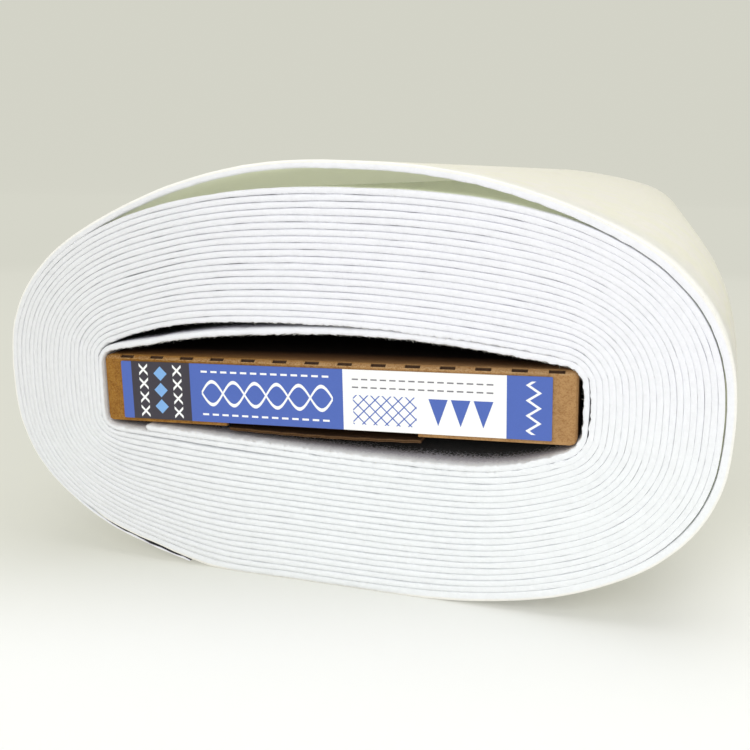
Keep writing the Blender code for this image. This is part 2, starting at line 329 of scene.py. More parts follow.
# %% Droop, crescent and bulge
def droop(turns):
    """How far the first turn hangs, in mm: a squared cosine to both sides of its peak.

    Peak and reach are given in degrees of a walk whose share of the way is 1 - |cos|.
    """
    angle = START_ANGLE + 2 * np.pi * turns
    even = np.degrees(np.arccos(1 - walked(angle)))
    degrees = np.where(np.cos(angle) < 0, 180 - even, even)
    away = degrees - DROOP["peak_deg"]
    reach = np.where(away > 0, DROOP["left_deg"], DROOP["right_deg"])
    hang = DROOP["depth"] * np.cos(np.pi / 2 * np.clip(away / reach, -1, 1)) ** 2
    return np.where((turns < 1) & (np.sin(angle) > 0), hang, 0)


def stand_off(turns):
    """How far the last turn stands off, in mm.

    A squared cosine on top, a thin slit down the right, and the outer end's own gap.
    """
    degrees = np.mod(np.degrees(START_ANGLE) + 360 * turns + 180, 360) - 180
    away = degrees - LIFT["peak_deg"]
    reach = np.where(away > 0, LIFT["left_deg"], LIFT["right_deg"])
    crescent = LIFT["height"] * np.cos(np.pi / 2 * np.clip(away / reach, -1, 1)) ** 2
    rise = (degrees - SLIT["from_deg"]) / (SLIT["full_deg"] - SLIT["from_deg"])
    slit = SLIT["width"] * smooth_step(rise) * (1 - smooth_step(away / LIFT["left_deg"]))
    passed = (turns - LAST_START - OUTER_END["from"]) / (OUTER_END["full"] - OUTER_END["from"])
    loose = OUTER_END["width"] * smooth_step(passed)
    return np.where(turns >= LAST_START, crescent + slit, 0) + loose


def bump(points):
    """The bulge's share from 0 to 1: a bell curve over the bearing from the oval's middle."""
    centre_x = (OVAL["left"]["x"] + OVAL["right"]["x"]) / 2
    centre_z = (OVAL["bottom"]["z"] + OVAL["top"]["z"]) / 2
    bearing = np.arctan2(BULGE["stretch"] * (points[:, 1] - centre_z), points[:, 0] - centre_x)
    away = bearing - BULGE["angle"]
    spread = np.where(away > 0, BULGE["spread_above"], BULGE["spread_below"])
    return np.exp(-(away / spread) ** 2)


def bulge_weight(turns):
    """How much of the bulge a place on the strip takes: none inside, all on the last turn."""
    rise = (turns / LAST_START - BULGE["tight_from"]) / (1 - BULGE["tight_from"])
    tight = BULGE["tight_share"] * smooth_step(rise)
    last = smooth_step((turns - LAST_START - BULGE["last_from"]) / BULGE["last_over"])
    return tight + (1 - BULGE["tight_share"]) * last


last_stretch = np.linspace(LAST_START, LAST_END, 500)
print(f"the last turn stands off by up to {stand_off(last_stretch).max():.1f} mm")


# %% The two faces of the strip, before the bulge
def strip_faces(turns):
    """Inner and outer face of the strip in mm, and the outward normals between them."""
    inner = spiral(turns)
    outer = spiral(turns, 1.0)
    normal = outward(inner)
    below = np.clip(turns - 1, 0, None)
    inner = inner + normal * ((gap_above(below) / 2 + sway(below)) * (turns >= 1))[:, None]
    outer = outer - normal * (gap_above(turns) / 2 - sway(turns))[:, None]
    hang = droop(turns)[:, None]
    inner, outer = inner - normal * hang, outer - normal * hang
    last = smooth_step((turns - LAST_START) / 0.02)[:, None]
    thickness = np.interp(turns - LAST_START, LAST_TURN["share_of_turn"], LAST_TURN["thickness"])
    lifted = inner + normal * stand_off(turns)[:, None]
    inner = inner + (lifted - inner) * last
    outer = outer + (lifted + normal * thickness[:, None] - outer) * last
    return inner, outer, normal


inner, outer, _ = strip_faces(DENSE_TURNS)
thick = np.linalg.norm(outer - inner, axis=1)
print(f"the cloth is {thick.min():.2f} to {thick.max():.2f} mm thick, {thick.mean():.2f} on average")

# %% [markdown]
# ## The cut edge
# Each column of the mesh is a closed loop round the strip: across the cut edge at the
# front, back along the outer face, across the cut edge at the back, and forward along the
# inner face. The edge is cut with a blade, so it is nearly flat, with corners that the
# fibres soften by about half a millimetre, and by less at the roll's two sides, where the
# turns lie so tight that the lines between them nearly vanish. The inner turns need few
# rows from front to back. The last two turns, whose faces are seen, get many, to follow
# the bulge. Next to the dark gaps the edge is torn: the corner strays in and out. A Bevel
# modifier could round the corners, but not by a radius that changes along the way.

# %% The rows of the loop round the strip
EDGE_SOFT = 0.62
EDGE_EASED = {"right": 0.74, "left": 0.48}
CORNER_STEPS = (0.0, 0.5, 1.0)
TORN = {"turns": (0.0, 2.0, 2.01, 21.3, 21.4, 21.7, 21.8, 21.95, 21.96),
        "size": (0.26, 0.26, 0.05, 0.05, 0.15, 0.15, 0.05, 0.05, 0.26)}
CUT_REACH = 10.0
COARSE_ROWS = (7.0, 80.0)
FINE_ROWS = (1.6, 3.5, 7.0, 13.0, 21.0, 32.0, 48.0, 80.0, 120.0, 190.0, 300.0, 430.0, 500.0)


def loop_rows(rows):
    """The loop as an array of rows (side, depth, rim across, rim along), in mm.

    side is 0 on the inner face and 1 on the outer face. The rims move a corner's points
    along a quarter of a circle, whose points are the radius times 1 - sine and 1 - cosine.
    """
    turn = np.array(CORNER_STEPS) * np.pi / 2
    soft_x, soft_y = EDGE_SOFT * (1 - np.sin(turn)), EDGE_SOFT * (1 - np.cos(turn))
    front_in = [(0, 0, a, b) for a, b in zip(soft_x[::-1], soft_y[::-1])]
    front_out = [(1, depth, -x, y) for _, depth, x, y in front_in[::-1]]
    back_out = [(1, CLOTH_WIDTH, x, -y) for _, _, x, y in front_out[::-1]]
    back_in = [(0, CLOTH_WIDTH, x, -y) for _, _, x, y in front_in[::-1]]
    outside = [(1, depth, 0, 0) for depth in rows]
    inside = [(0, depth, 0, 0) for depth in rows[::-1]]
    return np.array(front_in + front_out + outside + back_out + back_in + inside, float)


coarse_loop = loop_rows(COARSE_ROWS)
fine_loop = loop_rows(FINE_ROWS)
print(f"{len(coarse_loop)} rows round the inner turns, {len(fine_loop)} round the last two")


# %% From turns and rows to points in the room
def in_room(section, depth):
    """Section points in mm at a depth behind the front, as places in metres."""
    x = section[..., 0] + SHIFT_X
    z = np.maximum(section[..., 1], FLOOR) - FLOOR
    return np.stack([x, depth - CLOTH_WIDTH / 2, z], -1) * MM


def cut_lines(length):
    """How far the front and the back cut stray from their planes, in mm, along the strip."""
    front = 0.16 * wander(length, 23.0, 21) + 0.10 * wander(length, 4.0, 22)
    back = 0.20 * wander(length, 19.0, 23) + 0.10 * wander(length, 4.0, 24)
    return front, back


def strip_points(turns, loop):
    """A grid of points, columns by rows, for a stretch of the strip.

    Each row lies at its share of the thickness, moved by its rim and by the tear, and then
    outward by the bulge, which grows with the depth as 1 - exp(-depth / reach). A cut's
    straying fades with the distance from it as exp(-distance / CUT_REACH).
    """
    inner, outer, normal = strip_faces(turns)
    side, depth, rim_x, rim_y = loop.T
    length = np.interp(turns, DENSE_TURNS, DENSE_LENGTH)
    uneven, uneven_back = cut_lines(length)
    thick = np.linalg.norm(outer - inner, axis=1)
    rightward = normal[:, 0]
    eased = 1 - EDGE_EASED["right"] * smooth_step((rightward + 0.1) / 0.5)
    eased = eased - EDGE_EASED["left"] * smooth_step((-rightward - 0.05) / 0.6)
    soft = np.minimum(eased, 0.42 * thick / EDGE_SOFT)
    section = inner[:, None] + (outer - inner)[:, None] * side[None, :, None]
    torn = 0.55 * wander(length, 1.1, 31) + 0.45 * wander(length, 0.55, 32)
    torn = torn * np.interp(turns, TORN["turns"], TORN["size"])
    at_rim = ((side < 0.5) & (np.minimum(depth, CLOTH_WIDTH - depth) < 1.0))[None]
    across = soft[:, None] * rim_x[None] + torn[:, None] * at_rim
    section = section + normal[:, None] * across[..., None]
    near_front = np.exp(-depth / CUT_REACH)[None] * uneven[:, None]
    near_back = np.exp(-(CLOTH_WIDTH - depth) / CUT_REACH)[None] * uneven_back[:, None]
    place = depth[None] + eased[:, None] * rim_y[None] + near_front + near_back
    swell = BULGE["size"] * (bump(inner) * bulge_weight(turns))[:, None]
    swell = swell * (1 - np.exp(-depth / BULGE["reach"]))[None]
    section = section + normal[:, None] * swell[..., None]
    return in_room(section, place)


front_cut, back_cut = cut_lines(DENSE_LENGTH)
print(f"the cuts stray by up to {abs(front_cut).max():.2f} and {abs(back_cut).max():.2f} mm")


# %% Faces of the strip, with the join between the coarse and the fine loop
def wall_faces(columns, rows, start):
    """Quads between neighbouring columns of closed loops, numbered from a start.

    They face outward where a loop runs counter-clockwise, seen from the side that it is
    carried to.
    """
    column = np.arange(columns - 1)[:, None] * rows + start
    row = np.arange(rows)[None]
    following = (row + 1) % rows
    quads = np.stack([column + row, column + following,
                      column + rows + following, column + rows + row], -1)
    return quads.reshape(-1, 4).tolist()


def join_faces(coarse, fine, coarse_start, fine_start):
    """Faces between a coarse loop and a fine loop: each coarse step meets a run of fine ones."""
    partner = [int(np.argmin(np.abs(fine - row).sum(1))) for row in coarse]
    faces = []
    for index, here in enumerate(partner):
        following = (index + 1) % len(coarse)
        stop = partner[following] + (len(fine) if partner[following] < here else 0)
        run = [fine_start + step % len(fine) for step in range(here, stop + 1)]
        faces.append([coarse_start + index, coarse_start + following] + run[::-1])
    return faces


join = join_faces(coarse_loop, fine_loop, 0, len(coarse_loop))
print("the join between the two loops has", len(join), "faces")


# %% Pieces from points and faces
def new_piece(name, points, faces, finish, smooth=True):
    """A mesh object at the origin that rides on the root body and takes a slot's finish."""
    mesh = bpy.data.meshes.new(name)
    mesh.from_pydata(np.asarray(points).reshape(-1, 3).tolist(), [], faces)
    mesh.polygons.foreach_set("use_smooth", np.full(len(mesh.polygons), smooth))
    mesh.materials.append(finish)
    mesh.update()
    piece = bpy.data.objects.new(name, mesh)
    bpy.context.scene.collection.objects.link(piece)
    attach(piece, "root")
    return piece


def triangles(piece):
    """How many triangles the faces of a piece make."""
    return sum(len(face.vertices) - 2 for face in piece.data.polygons)


# %% [markdown]
# ## Finishes
# A finish is a small graph of shader nodes. Writing the graph by hand is long, so a few
# helpers make it short: one adds a node and fills its inputs, and the others do
# arithmetic, mix colours, make noise, carry a value to a new range or start a material.
# Every pattern reads Object coordinates, which are metres here, so a noise scale of 1000
# means a grain of about a millimetre.

# %% Helpers for shader graphs
def add_node(tree, kind, inputs=None, **settings):
    """A shader node with its settings and inputs; an input is a value or another socket."""
    node = tree.nodes.new("ShaderNode" + kind)
    for name, value in settings.items():
        setattr(node, name, value)
    for name, value in (inputs or {}).items():
        if isinstance(value, bpy.types.NodeSocket):
            tree.links.new(value, node.inputs[name])
        else:
            node.inputs[name].default_value = value
    return node


def maths(tree, operation, first, second=0.0, third=0.0, clamp=False):
    """Arithmetic on one to three numbers or sockets."""
    node = add_node(tree, "Math", {0: first, 1: second, 2: third}, operation=operation)
    node.use_clamp = clamp
    return node.outputs[0]


def mix_colours(tree, factor, first, second, blend="MIX"):
    """A colour between two colours or sockets, by a factor from 0 to 1."""
    inputs = {0: factor, 6: first, 7: second}
    return add_node(tree, "Mix", inputs, data_type="RGBA", blend_type=blend).outputs[2]


def dimmed(tree, colour, tone):
    """A colour multiplied by a tone, which is a number or a socket."""
    grey = add_node(tree, "CombineColor", {"Red": tone, "Green": tone, "Blue": tone}).outputs[0]
    return mix_colours(tree, 1.0, colour, grey, "MULTIPLY")


def noise(tree, place, scale, detail=2.0, roughness=0.5):
    """Smooth noise from 0 to 1 on a vector of metres."""
    inputs = {"Vector": place, "Scale": scale, "Detail": detail, "Roughness": roughness}
    return add_node(tree, "TexNoise", inputs).outputs["Fac"]


def ramp(tree, value, low, high):
    """Carries a value from low..high to 0..1 by a smooth step, held at the ends."""
    inputs = {"Value": value, "From Min": low, "From Max": high, "To Min": 0.0, "To Max": 1.0}
    return add_node(tree, "MapRange", inputs, interpolation_type="SMOOTHSTEP").outputs["Result"]


def new_finish(name, roughness, **sockets):
    """A material whose Principled shader has constant values on its own sockets."""
    finish = bpy.data.materials.new(name)
    finish.use_nodes = True
    tree = finish.node_tree
    shader = tree.nodes["Principled BSDF"]
    shader.inputs["Roughness"].default_value = roughness
    for socket, value in sockets.items():
        shader.inputs[socket.replace("_", " ")].default_value = value
    return finish, tree, shader


def relief(tree, shader, height, distance, strength=1.0):
    """Raises the surface by a height from 0 to 1 times a distance in metres, as bump."""
    inputs = {"Height": height, "Distance": distance, "Strength": strength}
    bump_node = add_node(tree, "Bump", inputs)
    tree.links.new(bump_node.outputs["Normal"], shader.inputs["Normal"])


# %% [markdown]
# ## The cloth's finish
# Interfacing is felt-like: short white fibres lie in every direction. Its cut edge is a
# clean cool white, with a painted tint of the light that makes it cooler at the top and
# greener low down, and a painted shade that turns it greyer to the left. Its outer face is a
# warmer cream with faint rosy clouds. Inside the roll light reaches it only through other
# turns: that green-grey is painted into its colour as shade, and deep beside the board a
# painted shade makes it nearly black. Three numbers are kept on each point of the mesh: how
# far the point is covered by other turns, whether it faces the board, and whether the cloth
# is single there, as in the last turn, so that light comes through it.

# %% The tones of the interfacing
CUT_WHITE = (0.905, 0.905, 0.965, 1)
# The cut's colour low down is a painted tint of the light from the floor, and its grey on the left is a
# painted shade.
CUT_LOW_LIGHT_TINT = (0.895, 0.912, 0.942, 1)
CUT_SHADE_GREY = (0.80, 0.805, 0.83, 1)
RIM_WHITE = (0.93, 0.91, 0.865, 1)
FACE_CREAM = (0.965, 0.925, 0.805, 1)
FACE_ROSE = (0.965, 0.915, 0.865, 1)
# Between the turns the cloth is painted whiter than its cut, a painted light that lightens the lines
# between the turns. The crescent's green is a painted shade, lit only through the cloth.
TIGHT_WHITE = (0.955, 0.968, 0.985, 1)
CRESCENT_PAINTED_SHADE = (0.91, 0.94, 0.78, 1)
# The painted shade of the core: grey just behind the cut, nearly black further in.
CORE_SHADE_GREY = (0.62, 0.60, 0.68, 1)
CORE_SHADE_DARK = (0.008, 0.008, 0.009, 1)
THROUGH_WHITE = (0.97, 0.975, 0.97, 1)
THROUGH_GREEN = (0.968, 0.99, 0.88, 1)
THROUGH_INSIDE = 0.62
THROUGH_OUTSIDE = 0.32
FADE_IN = (0.0002, 0.0035)
CORE_SHADE_DIM = (0.001, 0.006)
CORE_SHADE_BLACK = (0.0065, 0.0115)
SHADE_LEFT_TO_MIDDLE = (-0.105, 0.0)
TINT_LOW_TO_HIGH = (0.03, 0.08)
print("the cloth fades from its cut colour over", round(FADE_IN[1] / MM, 1), "mm")


# %% The colours of the cut, of the faces and of the core
def cut_colour(tree, parts, covered):
    """The cut edge: creamy round the last turn, painted light makes it cooler at the top, painted shade
    greyer at the left.
    """
    cut = mix_colours(tree, ramp(tree, parts.outputs["Z"], *TINT_LOW_TO_HIGH), CUT_LOW_LIGHT_TINT, CUT_WHITE)
    cut = mix_colours(tree, ramp(tree, parts.outputs["X"], *SHADE_LEFT_TO_MIDDLE), CUT_SHADE_GREY, cut)
    return mix_colours(tree, ramp(tree, covered, 0.0, 0.4), RIM_WHITE, cut)


def face_colour(tree, covered, cloud):
    """The faces: cream with rosy clouds outside, white between turns, painted green shade in the
    crescent.
    """
    face = mix_colours(tree, ramp(tree, cloud, 0.38, 0.64), FACE_CREAM, FACE_ROSE)
    face = mix_colours(tree, ramp(tree, covered, 0.0, 0.5), face, TIGHT_WHITE)
    return mix_colours(tree, ramp(tree, covered, 0.5, 1.0), face, CRESCENT_PAINTED_SHADE)


def painted_core_shade(tree, colour, depth, grain):
    """Paints shade on the faces of the core: the colour dims with depth, over borders that grain frays.
    """
    core = add_node(tree, "Attribute", attribute_name="core").outputs["Fac"]
    fuzzy = maths(tree, "MULTIPLY_ADD", ramp(tree, grain, 0.36, 0.64), 0.5, 0.75)
    fuzzy = maths(tree, "MULTIPLY", maths(tree, "MULTIPLY", depth, fuzzy), core)
    dim = maths(tree, "MULTIPLY", core, ramp(tree, fuzzy, *CORE_SHADE_DIM))
    colour = mix_colours(tree, dim, colour, CORE_SHADE_GREY)
    shade = maths(tree, "MULTIPLY", core, ramp(tree, fuzzy, *CORE_SHADE_BLACK))
    return mix_colours(tree, shade, colour, CORE_SHADE_DARK)


def let_light_through(tree, shader, covered, depth):
    """Mixes in a translucent shader where the cloth is single, and more so in the crescent."""
    inside = ramp(tree, covered, 0.5, 1.0)
    tint = mix_colours(tree, inside, THROUGH_WHITE, THROUGH_GREEN)
    through = add_node(tree, "BsdfTranslucent", {"Color": tint})
    single = add_node(tree, "Attribute", attribute_name="single").outputs["Fac"]
    share = maths(tree, "MULTIPLY_ADD", inside, THROUGH_INSIDE - THROUGH_OUTSIDE, THROUGH_OUTSIDE)
    share = maths(tree, "MULTIPLY", share, single)
    share = maths(tree, "MULTIPLY", share, ramp(tree, depth, 0.0004, 0.004))
    blend = add_node(tree, "MixShader", {0: share, 1: shader.outputs[0], 2: through.outputs[0]})
    tree.links.new(blend.outputs[0], tree.nodes["Material Output"].inputs["Surface"])


# %% The finish of the interfacing
def make_interfacing():
    """White on the cut edges, fading in depth to cream outside, painted green shade inside, painted dark
    shade in the core.
    """
    finish, tree, shader = new_finish("interfacing_felt", 0.92, Sheen_Weight=0.12,
                                      Sheen_Roughness=0.6, Specular_IOR_Level=0.2)
    place = add_node(tree, "TexCoord").outputs["Object"]
    parts = add_node(tree, "SeparateXYZ", {"Vector": place})
    depth = maths(tree, "ABSOLUTE", parts.outputs["Y"])
    depth = maths(tree, "SUBTRACT", CLOTH_WIDTH / 2 * MM, depth)
    covered = add_node(tree, "Attribute", attribute_name="covered").outputs["Fac"]
    cloud = noise(tree, place, 160.0, 3.0)
    grain = noise(tree, place, 1500.0, 4.0, 0.62)
    fleck = noise(tree, place, 620.0, 3.0, 0.6)
    quick = maths(tree, "MULTIPLY_ADD", ramp(tree, covered, 0.0, 0.5), 0.7, 0.3)
    fade = ramp(tree, maths(tree, "MULTIPLY", depth, quick), *FADE_IN)
    colour = mix_colours(tree, fade, cut_colour(tree, parts, covered), face_colour(tree, covered, cloud))
    colour = painted_core_shade(tree, colour, depth, grain)
    tone = maths(tree, "MULTIPLY_ADD", cloud, 0.035, 0.965)
    speckle = maths(tree, "MULTIPLY_ADD", ramp(tree, fleck, 0.30, 0.62), 0.03, 0.97)
    tone = maths(tree, "MULTIPLY", tone, speckle)
    tree.links.new(dimmed(tree, colour, tone), shader.inputs["Base Color"])
    relief(tree, shader, maths(tree, "MULTIPLY_ADD", fleck, 0.8, grain), 0.00022, 0.8)
    let_light_through(tree, shader, covered, depth)
    return finish


interfacing = make_interfacing()
print("finish:", interfacing.name)

# %% Build the strip
CORE_END = 2.0
JOIN_TURN = 19.9
SPACING = {"core": 0.50, "middle": 2.9, "outside": 2.3}
coarse_turns = np.concatenate([spread_columns(0.0, CORE_END, SPACING["core"]),
                               spread_columns(CORE_END, JOIN_TURN, SPACING["middle"])[1:]])
fine_turns = spread_columns(JOIN_TURN, LAST_END, SPACING["outside"])[1:]
coarse_points = strip_points(coarse_turns, coarse_loop)
fine_points = strip_points(fine_turns, fine_loop)
fine_start = coarse_points.shape[0] * coarse_points.shape[1]
last_coarse = fine_start - len(coarse_loop)
faces = wall_faces(len(coarse_turns), len(coarse_loop), 0)
faces += wall_faces(len(fine_turns), len(fine_loop), fine_start)
faces += join_faces(coarse_loop, fine_loop, last_coarse, fine_start)
last_fine = fine_start + (len(fine_turns) - 1) * len(fine_loop)
faces.append(list(range(len(coarse_loop)))[::-1])
faces.append(list(range(last_fine, last_fine + len(fine_loop))))
points = np.concatenate([coarse_points.reshape(-1, 3), fine_points.reshape(-1, 3)])
cloth = new_piece("wound_cloth", points, faces, interfacing)
print(f"strip: {len(coarse_turns) + len(fine_turns)} columns, {triangles(cloth)} triangles")


# %% Write the three numbers that the finish reads
def write_numbers(piece, name, values):
    """Stores one number for each point of the mesh, under a name."""
    layer = piece.data.attributes.new(name, "FLOAT", "POINT")
    layer.data.foreach_set("value", np.asarray(values, np.float32).ravel())


def covered_share(turns, loop):
    """0 on the outer face of the last turn, 1 on the two faces of the crescent, else 0.5."""
    outer = loop[:, 0][None]
    last = smooth_step((turns - LAST_START) / 0.01)[:, None]
    before = smooth_step((turns - LAST_START + 0.9) / 0.05)[:, None] * (1 - last)
    return np.where(outer > 0.5, 0.5 + 0.5 * before - 0.5 * last, 0.5 + 0.5 * last)


# The share of painted shade that the core's faces take.
def core_shade_share(turns, loop):
    """1 on the first turn, and on the inner face of the second, which bound the core.

    The slit above the outer end is thin, and painted dark as shade from its edge on, so its face gets
    more.
    """
    outer = loop[:, 0][None]
    first = (turns < 1)[:, None] * np.ones_like(outer)
    second = ((turns >= 1) & (turns < 2))[:, None] * (1 - outer)
    loose = smooth_step((turns - LAST_START - OUTER_END["dark_from"]) / 0.008)[:, None] * (1 - outer)
    return np.clip(first + second, 0, 1) + OUTER_END["dark"] * loose


def single_share(turns, loop):
    """1 on the last turn, which has no other turn outside it, else 0."""
    return smooth_step((turns - LAST_START) / 0.02)[:, None] * np.ones(len(loop))


for name, share_of in (("covered", covered_share), ("core", core_shade_share), ("single", single_share)):
    values = [share_of(coarse_turns, coarse_loop), share_of(fine_turns, fine_loop)]
    values = np.concatenate([part.ravel() for part in values])
    write_numbers(cloth, name, values)
    print(f"{name}: {values.min():.1f} to {values.max():.1f}, mean {values.mean():.2f}")
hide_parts("cloth_roll")

# %% [markdown]
# ## The folded board
# The cloth is wound on a flat sleeve of brown board. Its end flap folds down from the top
# panel along a row of short cuts, which show as dark dashes, and a shallow notch in its
# lower edge leaves room for a finger. The board is one closed skin: outlines of the
# section are stacked from front to back. The front outlines carry the notch, and behind
# them the same points close it. Short stretches of the fold are pushed in for the cuts. A
# bevelled box with slots cut into it would look alike, but its bevel would break at every
# slot.

# %% The outline of the board's section
BOARD = {"width": 135.0, "height": 19.4, "corner": 1.8}
FLAP_FRONT = 0.9
FLAP_BACK = 3.6
BACK_FLAP = CLOTH_WIDTH - FLAP_FRONT
NOTCH = {"left": -29.7, "right": 26.0, "depth": 1.4, "corner": 0.8}
CUTS = {"first": -62.2, "pitch": 9.4, "length": 4.2, "count": 14, "depth": 0.55,
        "slope": 0.12, "recess": 0.25, "full_until": 2.3, "gone_at": 2.4}
FOLD = {"top": 1.15, "side": 0.8, "bottom": 0.2}


def corner_arc(x, z, radius, start):
    """Five points of a quarter circle round a corner's centre, from a start angle in degrees."""
    turn = np.radians(start + np.linspace(0, 90, 5))
    return np.stack([x + radius * np.cos(turn), z + radius * np.sin(turn)], -1)


def cut_points():
    """Places along the fold where the cuts begin and end, from right to left."""
    starts = CUTS["first"] + CUTS["pitch"] * np.arange(CUTS["count"])
    edges = np.array([0, CUTS["slope"], CUTS["length"] - CUTS["slope"], CUTS["length"]])
    return np.sort((starts[:, None] + edges[None]).ravel())[::-1]


def board_outline(notched):
    """The section counter-clockwise in board axes: right side, top with cuts, left, bottom."""
    x, z, radius = BOARD["width"] / 2, BOARD["height"] / 2, BOARD["corner"]
    along = cut_points()
    top = np.stack([along, np.full(len(along), z)], -1)
    roof = z - NOTCH["depth"] if notched else z
    soft = NOTCH["corner"] if notched else 0.0
    notch = np.array([(NOTCH["left"], -z), (NOTCH["left"], -roof - soft / 2),
                      (NOTCH["left"] + soft, -roof), (NOTCH["right"] - soft, -roof),
                      (NOTCH["right"], -roof - soft / 2), (NOTCH["right"], -z)])
    return np.concatenate([
        corner_arc(x - radius, z - radius, radius, 0), top,
        corner_arc(radius - x, z - radius, radius, 90),
        corner_arc(radius - x, radius - z, radius, 180), notch,
        corner_arc(x - radius, radius - z, radius, 270),
    ])


front_outline, plain_outline = board_outline(True), board_outline(False)
cut_row = np.zeros(len(front_outline))
cut_row[5:5 + 4 * CUTS["count"]] = np.tile([0, 1, 1, 0], CUTS["count"])
print("the outline of the board has", len(front_outline), "points and", CUTS["count"], "cuts")


# %% The front fold and the way into the room
def fold_radius(outline):
    """The radius of the front fold at each point: largest on top, least at the lower edge."""
    z = outline[:, 1]
    radius = np.where(z > BOARD["height"] / 2 - 0.05, FOLD["top"], FOLD["side"])
    return np.where(z < 1 - BOARD["height"] / 2, FOLD["bottom"], radius)


def to_room(section, depth):
    """Board axes and depth in mm to places in metres, with the board's tilt."""
    return in_room(tilt(section), np.broadcast_to(depth, section.shape[:-1]))


radius = fold_radius(front_outline)
print("radius of the fold:", radius.min(), "to", radius.max(), "mm")

# %% Stack the outlines into a closed skin
FOLD_STEPS = ((0, 0.0), (12, 0.0), (19, 0.0), (22, 1.0), (90, 1.0))


def board_rings():
    """Rings of the skin from front to back, and each ring's share of the cuts and of their painted
    shade.

    A fold is a quarter circle: the ring moves in by radius * (1 - sin) and back by
    radius * (1 - cos) as the angle runs to 90 degrees. FOLD_STEPS gives its angles in
    degrees, each with its share of the cuts.
    """
    rings, shares = [], []

    def add_ring(outline, depth, share=0.0):
        """Adds an outline at a depth in mm, with its cuts pushed in by a share."""
        ring = outline.copy()
        ring[:, 1] -= CUTS["depth"] * share * cut_row
        rings.append(to_room(ring, depth))
        shares.append(share * cut_row)

    radius = fold_radius(front_outline)
    side = np.abs(front_outline[:, 0]) > BOARD["width"] / 2 - BOARD["corner"] - 0.01
    level = np.abs(front_outline[:, 1]) > BOARD["height"] / 2 - NOTCH["depth"] - 0.01
    inward = -np.sign(front_outline) * np.stack([side, level], -1)
    for degrees, share in FOLD_STEPS:
        turn = math.radians(degrees)
        depth = FLAP_FRONT + radius * (1 - math.cos(turn)) + CUTS["recess"] * share * cut_row
        add_ring(front_outline + inward * (radius * (1 - math.sin(turn)))[:, None], depth, share)
    add_ring(front_outline, CUTS["full_until"], 1.0)
    add_ring(front_outline, CUTS["gone_at"])
    add_ring(front_outline, FLAP_BACK)
    for depth in (FLAP_BACK, 20.0, 488.0, BACK_FLAP - 0.7):
        add_ring(plain_outline, depth)
    for shrink, before_end in ((0.4, 0.2), (1.4, 0.0)):
        share_left = 1 - shrink / np.array([BOARD["width"], BOARD["height"]])
        add_ring(plain_outline * share_left, BACK_FLAP - before_end)
    return np.array(rings), np.array(shares)


rings, cut_shade_share = board_rings()
# The roof of the notch lies in shadow: there rings 6 to 8 get most of a cut's darkness.
in_notch = np.abs(front_outline[:, 0] - (NOTCH["left"] + NOTCH["right"]) / 2) < 30
in_notch &= front_outline[:, 1] < 0
cut_shade_share[6:9] = np.maximum(cut_shade_share[6:9], 0.75 * in_notch)
# The outlines run clockwise as seen from behind, so their faces are turned round.
ring_count, point_count = rings.shape[:2]
board_faces = [face[::-1] for face in wall_faces(ring_count, point_count, 0)]
last_ring = (ring_count - 1) * point_count
board_faces.append(list(range(point_count)))
board_faces.append(list(range(last_ring, last_ring + point_count))[::-1])
print("board:", ring_count, "rings,", len(board_faces), "faces")

# %% [markdown]
# ## The board's finish
# Brown board is made of short fibres, a little lighter and darker from place to place, and
# drawn out along the sheet. A painted shade makes it a little darker and more yellow to the
# left. The fold is paler and its cuts are painted dark as shade. The panels are lit only
# near the end of the roll, so a painted shade darkens them with depth, over a border that
# the fibres make uneven. Noise on the board's own axes gives all this without a picture,
# which would show seams.

# %% The finish of the board
KRAFT = (0.535, 0.312, 0.132, 1)
KRAFT_LEFT_SHADE = (0.50, 0.255, 0.045, 1)
KRAFT_DARK = (0.145, 0.040, 0.002, 1)
KRAFT_PALE = (0.60, 0.41, 0.22, 1)
KRAFT_DEEP_SHADE = (0.13, 0.060, 0.022, 1)
CUT_SHADOW = (0.020, 0.010, 0.006, 1)
BOARD_CENTRE = (SHIFT_X * MM, 0.0, -FLOOR * MM)
FOLD_HEIGHT = 9.0 * MM


def board_axes(tree):
    """Object coordinates turned and moved into the tilted board's own axes, in metres."""
    place = add_node(tree, "TexCoord").outputs["Object"]
    inputs = {"Vector": place, "Location": BOARD_CENTRE, "Rotation": (0, -BOARD_TILT, 0)}
    return add_node(tree, "Mapping", inputs, vector_type="TEXTURE").outputs["Vector"]


def stretched_noise(tree, place, stretch, scale):
    """Noise whose grains are drawn out: the vector is first divided by the stretch."""
    across = add_node(tree, "VectorMath", {0: place, 1: stretch}, operation="DIVIDE").outputs[0]
    return noise(tree, across, scale, 3.0, 0.6)


